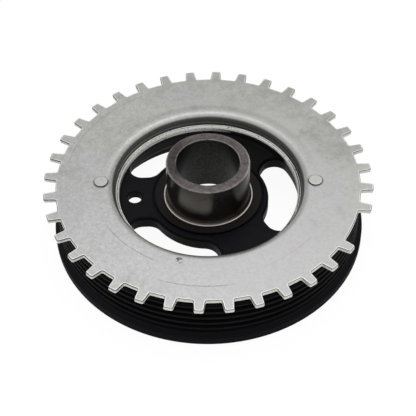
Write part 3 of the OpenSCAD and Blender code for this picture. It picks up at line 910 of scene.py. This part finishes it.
@dataclass
class TimingRing(GrownPart):
    """Stamped ring with its teeth, drawn collar and half-sheared buttons."""

    node: ClassVar[str] = "timing_ring"
    pitches: int = 36
    missing_turn: float = 340.0
    tip_radius: float = 73.4
    root_radius: float = 67.9
    tip_width: float = 3.9
    root_width: float = 5.1
    tip_round: float = 0.7
    root_round: float = 0.8
    top: float = 27.2
    sheet: float = 1.8
    edge_roll: float = 0.3
    burr_break: float = 0.06
    collar_radius: float = 41.7
    collar_bend: float = 4.0
    collar_foot: float = 22.45
    button_radius: float = 3.0
    button_rise: float = 0.5
    button_circle: float = 47.8
    button_turn: float = 3.2
    segments: int = 288
    crease_width: ClassVar[float] = 0.25
    crease_depth: ClassVar[float] = 0.08
    button_segments: ClassVar[int] = 48
    finish: SheetSteel = field(default_factory=SheetSteel)

    def toothed_outline(self, tree: PieceTree) -> Value:
        """Outline of the teeth, with eight corners for each pitch and none standing out at the missing tooth."""
        corners = 8
        size = tree.size
        number = tree.index()
        tooth = tree.math("FLOOR", number / corners)
        step = number % corners
        present = tooth > 0.5
        tip_half = tree.math("ARCTANGENT", size("Tip Width") / 2 / size("Tip Radius"))
        root_half = tree.math("ARCTANGENT", size("Root Width") / 2 / size("Root Radius"))
        gap_half = math.pi / size("Pitches")
        mid = (gap_half + root_half) / 2
        angle = tree.pick(step, [-gap_half, -mid, -root_half, -tip_half, 0.0, tip_half, root_half, mid])
        high = tree.pick(step, [0.0, 0.0, 0.0, 1.0, 1.0, 1.0, 0.0, 0.0]) * present
        round_root, round_tip = size("Root Round") * present, size("Tip Round") * present
        rounding = tree.pick(step, [0.0, 0.0, round_root, round_tip, 0.0, round_tip, round_root, 0.0])
        radius = size("Root Radius") + high * (size("Tip Radius") - size("Root Radius"))
        turn = angle + size("Missing Turn") * (math.pi / 180) + tooth * gap_half * 2
        x, y = radius * tree.math("COSINE", turn), radius * tree.math("SINE", turn)
        return tree.upright(tree.outline(size("Pitches") * corners, x, y, rounding, 6, True))

    def tree(self) -> PieceTree:
        """Builds the geometry tree of the ring."""
        tree = PieceTree("stamped_toothed_ring", self.sizes())
        size = tree.size
        top, seat = size("Top"), size("Top") - size("Sheet")
        lead = 0.6
        flat_in = size("Collar Radius") + size("Collar Bend") + lead
        outline = self.toothed_outline(tree)
        edge = tree.section(
            [
                Corner(-lead, top),
                Corner(-lead * 0.75, top, 0.0, 1.0),
                Corner(0.0, top, size("Edge Roll"), 1.0),
                Corner(0.0, seat, size("Burr Break")),
                Corner(-lead, seat),
            ],
            0.0,
            5,
        )
        normal = tree.node("GeometryNodeInputNormal").outputs[0]
        inset = tree.make("GeometryNodeSetPosition", {"Geometry": outline, "Offset": tree.scaled(normal, -lead)})
        collar_out = size("Collar Radius") + size("Sheet")
        collar = tree.section(
            [
                Corner(flat_in, top),
                Corner(size("Collar Radius"), top, size("Collar Bend")),
                Corner(size("Collar Radius"), size("Collar Foot"), 0.15),
                Corner(collar_out, size("Collar Foot"), 0.1),
                Corner(collar_out, seat, size("Collar Bend") - size("Sheet")),
                Corner(flat_in, seat),
            ],
            size("Collar Radius"),
            14,
        )
        inner = tree.circle(flat_in, size("Segments"))
        dots = self.button_places(tree)
        hole = tree.circle(size("Button Radius") + self.crease_width, self.button_segments)
        holes = tree.repeat(hole, dots)
        parts = [
            tree.sweep(outline, edge),
            tree.sweep(tree.circle(size("Collar Radius"), size("Segments")), collar),
            tree.fill([inset, inner, holes], top),
            tree.fill([inset, inner], seat),
            tree.repeat(self.button(tree), dots),
        ]
        tree.finish(tree.join(parts), self.finish.material())
        return tree

    def button_places(self, tree: PieceTree) -> Value:
        """Two points opposite each other, where the buttons are."""
        line = tree.make("GeometryNodeMeshLine", {"Count": 2}, mode="OFFSET")
        turn = (tree.size("Button Turn") + tree.index() * 180) * (math.pi / 180)
        reach = tree.size("Button Circle")
        spot = tree.point(reach * tree.math("COSINE", turn), reach * tree.math("SINE", turn))
        return tree.make("GeometryNodeSetPosition", {"Geometry": line, "Position": spot})

    def button(self, tree: PieceTree) -> Value:
        """Half-sheared button, from the crease around it to the middle of its top."""
        radius, top = tree.size("Button Radius"), tree.size("Top")
        high = top + tree.size("Button Rise")
        section = tree.section(
            [
                Corner(radius + self.crease_width, top),
                Corner(radius + 0.06, top - self.crease_depth, 0.05),
                Corner(radius, top, 0.0),
                Corner(radius, high, 0.12),
                Corner(radius - 0.5, high),
                Corner(0.0, high),
            ],
            radius,
            4,
        )
        return tree.sweep(tree.circle(radius, self.button_segments), section)

    def build(self, frame: Mapping[str, Any]) -> bpy.types.Object:
        """Makes the ring and puts it in its node's place."""
        piece = self.grown("stamped_timing_ring")
        return piece


@dataclass
class PulleyRing(GrownPart):
    """Turned ring with the front flange and the belt grooves."""

    node: ClassVar[str] = "pulley_ring"
    grooves: int = 5
    groove_pitch: float = 3.56
    groove_depth: float = 3.0
    groove_angle: float = 40.0
    groove_floor: float = 0.4
    rib_radius: float = 67.9
    flange_radius: float = 70.0
    flange_thickness: float = 3.912
    bore_radius: float = 57.5
    height: float = 24.6
    ring_break: float = 0.6
    flange_break: float = 0.3
    rib_round: float = 0.25
    floor_round: float = 0.12
    segments: int = 256
    finish: BlackCoat = field(default_factory=BlackCoat)

    def tree(self) -> PieceTree:
        """Builds the geometry tree, whose section has four corners for each groove and four for the ring itself."""
        tree = PieceTree("grooved_ring", self.sizes())
        size = tree.size
        number = tree.index()
        groove = tree.math("FLOOR", number / 4)
        slope = tree.math("TANGENT", size("Groove Angle") * (math.pi / 360))
        floor_r = size("Rib Radius") - size("Groove Depth")
        half_floor = size("Groove Floor") / 2
        is_first = groove < 0.5
        left_r = size("Rib Radius") + is_first * (size("Flange Radius") - size("Rib Radius"))
        first = size("Flange Thickness") + (size("Flange Radius") - floor_r) * slope + half_floor
        middle = first + groove * size("Groove Pitch")
        out = tree.pick(number % 4, [left_r, floor_r, floor_r, size("Rib Radius")])
        side = tree.pick(number % 4, [-1.0, -1.0, 1.0, 1.0])
        up = middle + side * (half_floor + (out - floor_r) * slope)
        crest, root = size("Rib Round"), size("Floor Round")
        rounding = tree.pick(number % 4, [crest, root, root, crest])
        spare = number - size("Grooves") * 4
        on_ring = spare > -0.5
        ring_number = tree.math("MAXIMUM", spare, 0.0)
        ring_break = size("Ring Break")
        radii = [size("Rib Radius"), size("Bore Radius"), size("Bore Radius"), size("Flange Radius")]
        ring_out = tree.pick(ring_number, radii)
        ring_up = tree.pick(ring_number, [size("Height"), size("Height"), 0.0, 0.0])
        out = on_ring * ring_out + (1 - on_ring) * out
        up = on_ring * ring_up + (1 - on_ring) * up
        breaks = tree.pick(ring_number, [ring_break, ring_break, ring_break, size("Flange Break")])
        rounding = on_ring * breaks + (1 - on_ring) * rounding
        base = size("Bore Radius")
        section = tree.outline(size("Grooves") * 4 + 4, out - base, -up, rounding, 5, True)
        tree.finish(tree.sweep(tree.circle(base, size("Segments")), section), self.finish.material())
        return tree

    def build(self, frame: Mapping[str, Any]) -> bpy.types.Object:
        """Makes the ring and puts it in its node's place."""
        piece = self.grown("grooved_pulley_ring")
        return piece


@dataclass
class CastPart(Part):
    """Node that keeps its own solid and gets a finish.

    Attributes:
        node: Name of the node.
        finish: Its finish.
    """

    node: str
    finish: Finish

    def build(self, frame: Mapping[str, Any]) -> bpy.types.Object:
        """Gives the node its finish."""
        solid = frame["nodes"][self.node]
        material = self.finish.material()
        for slot in solid.material_slots:
            slot.material = material
        return solid


# Studio


class Seen(Enum):
    """Kinds of ray that see the white background."""

    CAMERA = "Is Camera Ray"
    GLOSSY = "Is Glossy Ray"
    TRANSMISSION = "Is Transmission Ray"


def seen_mask(graph: Graph) -> Value:
    """Mask of the rays that see the background and not the light that falls on it."""
    path = graph.node("ShaderNodeLightPath")
    total: Plug = 0.0
    for kind in Seen:
        total = graph.value(path, kind.value) + total
    return graph.math("MINIMUM", total, 1.0)


@dataclass(frozen=True)
class Lamp:
    """Soft square lamp that looks at the part.

    Attributes:
        name: Name of the lamp.
        azimuth: Direction it stands in, in degrees from +X.
        elevation: Height angle in degrees.
        distance: Distance from the part in metres.
        size: Side in metres.
        power: Watts.
    """

    name: str
    azimuth: float
    elevation: float
    distance: float
    size: float
    power: float

    def build(self) -> None:
        """Hangs the lamp."""
        light = bpy.data.lights.new(self.name, "AREA")
        light.shape = "SQUARE"
        light.size = self.size
        light.energy = self.power
        lamp = add_object(self.name, light)
        turn, height = math.radians(self.azimuth), math.radians(self.elevation)
        level = self.distance * math.cos(height)
        place = Vector((level * math.cos(turn), level * math.sin(turn), self.distance * math.sin(height)))
        lamp.matrix_world = Matrix.Translation(place) @ place.to_track_quat("Z", "Y").to_matrix().to_4x4()


@dataclass(frozen=True)
class Studio:
    """Pale floor, white surroundings and soft lamps.

    Attributes:
        floor_size: Half of the floor's side in metres.
        floor_colour: Colour of the floor.
        floor_glow: Brightness below which the floor doesn't look darker in a shadow.
        floor_shade: What the lamps add to that brightness.
        backdrop: Strength of the low backdrop all round.
        room: Strength of the surroundings just above the backdrop.
        ceiling: Strength of the surroundings overhead.
        front_loss: Share by which they are dimmer at the front.
        horizon: Upward slopes between which the backdrop ends.
        overhead: Upward slopes between which the ceiling begins.
        lamps: The lamps.
    """

    floor_size: float = 3.0
    floor_colour: Colour = (0.82, 0.82, 0.82)
    floor_glow: float = 0.94
    floor_shade: Colour = (0.10, 0.10, 0.10)
    backdrop: float = 1.0
    room: float = 0.38
    ceiling: float = 1.05
    front_loss: float = 0.45
    horizon: tuple[float, float] = (0.18, 0.36)
    overhead: tuple[float, float] = (0.38, 0.93)
    lamps: tuple[Lamp, ...] = (
        Lamp("key_lamp", 80.0, 68.0, 0.95, 0.55, 0.9),
        Lamp("side_lamp", 12.0, 48.0, 1.1, 0.5, 0.12),
        Lamp("front_lamp", -112.0, 38.0, 1.2, 0.7, 0.15),
    )

    def build(self) -> None:
        """Sets up the floor, the world and the lamps."""
        self.floor()
        self.world()
        for lamp in self.lamps:
            lamp.build()

    def floor(self) -> None:
        """Lays the floor that the part rests on."""
        half = self.floor_size
        mesh = bpy.data.meshes.new("floor")
        mesh.from_pydata([(-half, -half, 0), (half, -half, 0), (half, half, 0), (-half, half, 0)], [], [(0, 1, 2, 3)])
        floor = add_object("floor", mesh)
        fixed = {"Base Color": (*self.floor_colour, 1.0), "Roughness": 0.9, "Specular IOR Level": 0.1}
        surface = Surface("pale_floor", fixed)
        glow = surface.node("ShaderNodeEmission", None, {"Color": (1, 1, 1, 1), "Strength": self.floor_glow})
        lit = surface.node("ShaderNodeBsdfDiffuse", None, {"Color": (*self.floor_shade, 1.0)})
        paler = surface.node("ShaderNodeAddShader", None, {0: lit.outputs[0], 1: glow.outputs[0]})
        sockets = {0: seen_mask(surface), 1: surface.shader.outputs[0], 2: paler.outputs[0]}
        surface.plug(surface.output.inputs["Surface"], surface.make("ShaderNodeMixShader", sockets))
        mesh.materials.append(surface.material)

    def world(self) -> None:
        """Surrounds the part with a low white backdrop, a greyer room above it and white overhead."""
        world = bpy.data.worlds.new("pale_studio")
        world.use_nodes = True
        bpy.context.scene.world = world
        graph = Graph(world.node_tree)
        graph.tree.nodes.clear()
        towards = graph.node("ShaderNodeSeparateXYZ", None, {0: graph.node("ShaderNodeTexCoord").outputs["Generated"]})
        up, back = graph.value(towards, "Z"), graph.value(towards, "Y")
        height = graph.rise(up, *self.overhead)
        front = graph.rise(-back, 0.0, 0.8)
        above = (height * (self.ceiling - self.room) + self.room) * (1 - front * self.front_loss)
        low = graph.fall(up, *self.horizon)
        strength = (self.backdrop - above) * low + above
        light = graph.node("ShaderNodeBackground", None, {"Color": (1, 1, 1, 1), "Strength": strength})
        graph.node("ShaderNodeOutputWorld", None, {"Surface": light.outputs[0]})


@dataclass(frozen=True)
class Viewpoint:
    """Camera at the photographed angle.

    Attributes:
        target: Point in millimetres that the camera looks at, before the part's turn.
        distance: Distance from the target in millimetres.
        elevation: Height angle in degrees.
        roll: Tilt of the picture in degrees.
        turn: Turn of the part's axes against the picture in degrees.
        focal: Focal length in pixels.
        frame: Width of the picture in pixels.
        sensor: Width of the sensor in millimetres.
        near: Nearest distance that it shows, in metres.
    """

    target: tuple[float, float, float] = (-0.221, -16.225, 27.2)
    distance: float = 578.907
    elevation: float = 47.3227
    roll: float = -0.69747
    turn: float = 3.585
    focal: float = 1324.188
    frame: float = 416.0
    sensor: float = 36.0
    near: float = 0.05

    def build(self) -> None:
        """Sets up the camera."""
        camera = bpy.data.cameras.new("viewpoint")
        camera.sensor_width = self.sensor
        camera.lens = self.focal / self.frame * self.sensor
        camera.clip_start = self.near
        holder = add_object("viewpoint", camera)
        tilt = Euler((math.radians(90 - self.elevation), 0, 0)).to_matrix().to_4x4()
        lean = Matrix.Rotation(math.radians(self.roll), 4, "Z")
        back = Matrix.Translation((0, 0, self.distance * MM))
        aim = Matrix.Translation(Vector(self.target) * MM)
        holder.matrix_world = Matrix.Rotation(math.radians(self.turn), 4, "Z") @ aim @ tilt @ lean @ back
        bpy.context.scene.camera = holder


def main() -> None:
    """Builds the scene and logs which piece stands for each node."""
    logging.basicConfig(level=logging.INFO, format="%(name)s: %(message)s")
    for spare in list(bpy.data.objects):
        bpy.data.objects.remove(spare)
    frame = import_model()
    bpy.context.scene.view_settings.view_transform = "Standard"
    Viewpoint().build()
    Studio().build()
    parts: tuple[Part, ...] = (
        CastPart("hub", HubIron()),
        CastPart("damping_ring", Rubber()),
        PulleyRing(),
        TimingRing(),
    )
    for part in parts:
        piece = part.build(frame)
        LOG.info("%s stands for %s", piece.name, part.node)


if __name__ == "__main__":
    main()
